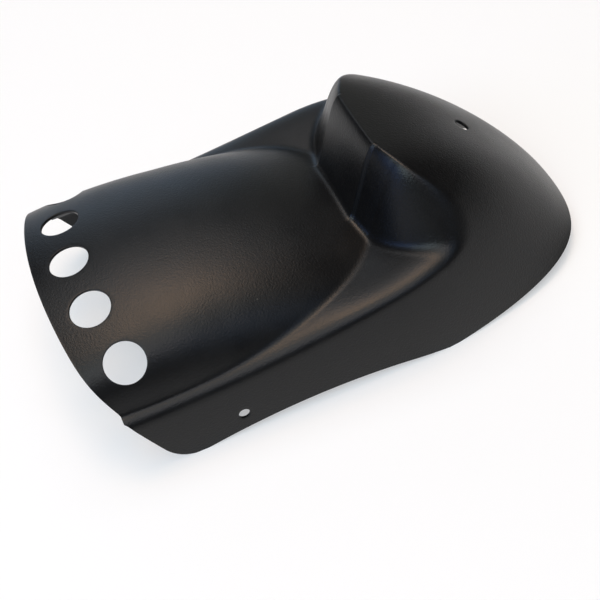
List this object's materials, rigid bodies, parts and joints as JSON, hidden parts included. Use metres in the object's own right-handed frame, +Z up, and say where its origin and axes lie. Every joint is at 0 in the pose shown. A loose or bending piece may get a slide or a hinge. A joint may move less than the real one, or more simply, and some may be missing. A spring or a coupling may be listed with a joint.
{
  "type": "bobber rear fender",
  "caption": "Short motorcycle rear fender: a moulded shell with an arched front, a stepped hump, side flanges and bolt holes.",
  "frame": {"origin": "middle of the footprint, on the surface that the fender rests on by its lower edges", "axes": "+X towards the tail, +Y towards the motorcycle's right-hand side, +Z up as the fender rests"},
  "size_m": [0.4412, 0.266, 0.1456],
  "materials": {
    "shell": "satin black, soft moulded sheen"
  },
  "bodies": {
    "root": {"fender_shell": "shell"}
  },
  "joints": []
}
